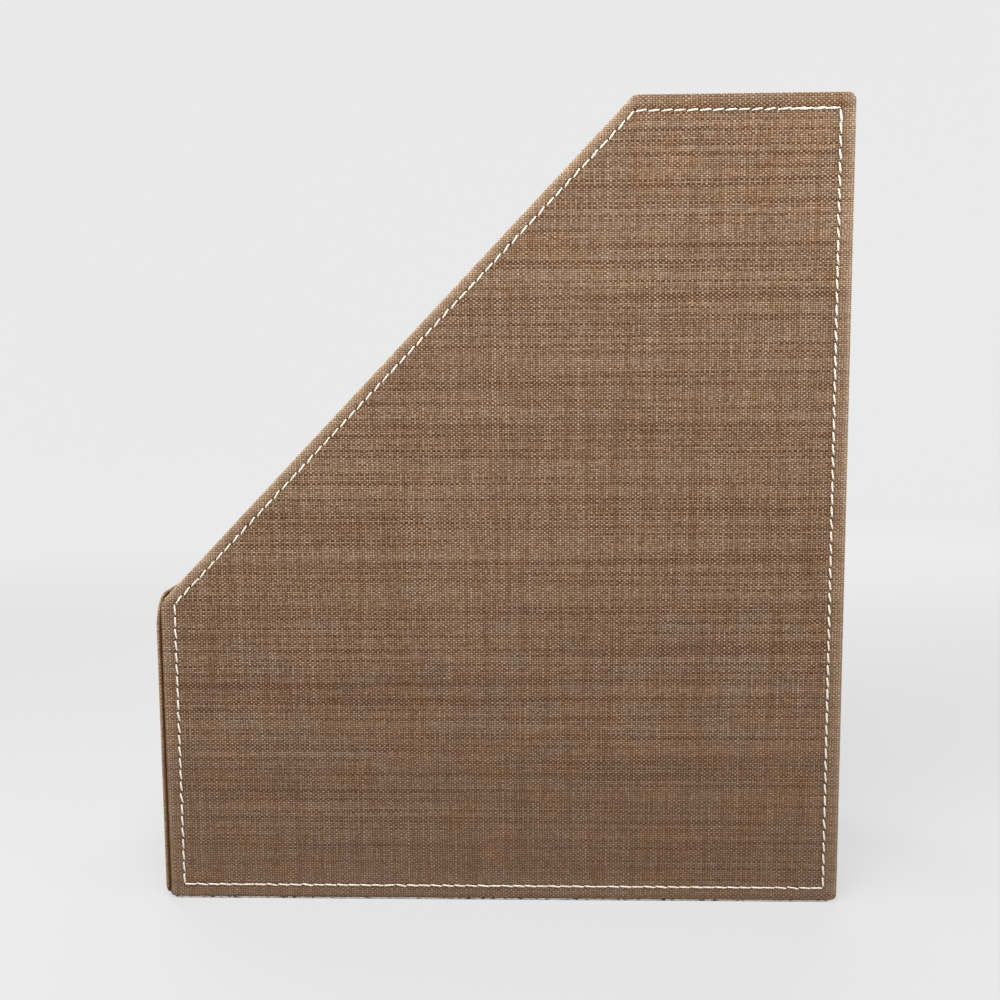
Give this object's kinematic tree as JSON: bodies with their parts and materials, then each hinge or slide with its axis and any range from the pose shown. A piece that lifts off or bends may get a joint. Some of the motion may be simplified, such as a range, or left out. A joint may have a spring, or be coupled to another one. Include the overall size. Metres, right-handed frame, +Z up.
{
  "type": "file holder",
  "caption": "Upright open-topped file holder with sloped sides and a low front wall, in linen-weave cloth over board with contrast stitching.",
  "frame": {"origin": "centre of the base, on the surface that the holder stands on", "axes": "+X from the low front wall to the tall back wall, +Y across the holder, +Z up"},
  "size_m": [0.2626, 0.1026, 0.305],
  "materials": {
    "linen_cloth": "plain linen weave with slubs, brown, matt",
    "thread": "twisted sewing thread, cream",
    "greyboard": "solid grey bookbinding board",
    "lining_paper": "uncoated brown lining paper",
    "base_felt": "thin pale needle felt"
  },
  "bodies": {
    "root": {"side_board_right": "greyboard", "side_cover_right": "linen_cloth", "side_lining_right": "lining_paper", "side_stitching_right": "thread", "side_board_left": "greyboard", "side_cover_left": "linen_cloth", "side_lining_left": "lining_paper", "side_stitching_left": "thread", "front_board": "greyboard", "front_cover": "linen_cloth", "front_lining": "lining_paper", "front_stitching": "thread", "back_board": "greyboard", "back_cover": "linen_cloth", "back_lining": "lining_paper", "back_stitching": "thread", "floor_board": "greyboard", "floor_cover": "linen_cloth", "base_sheet": "base_felt"}
  },
  "joints": []
}
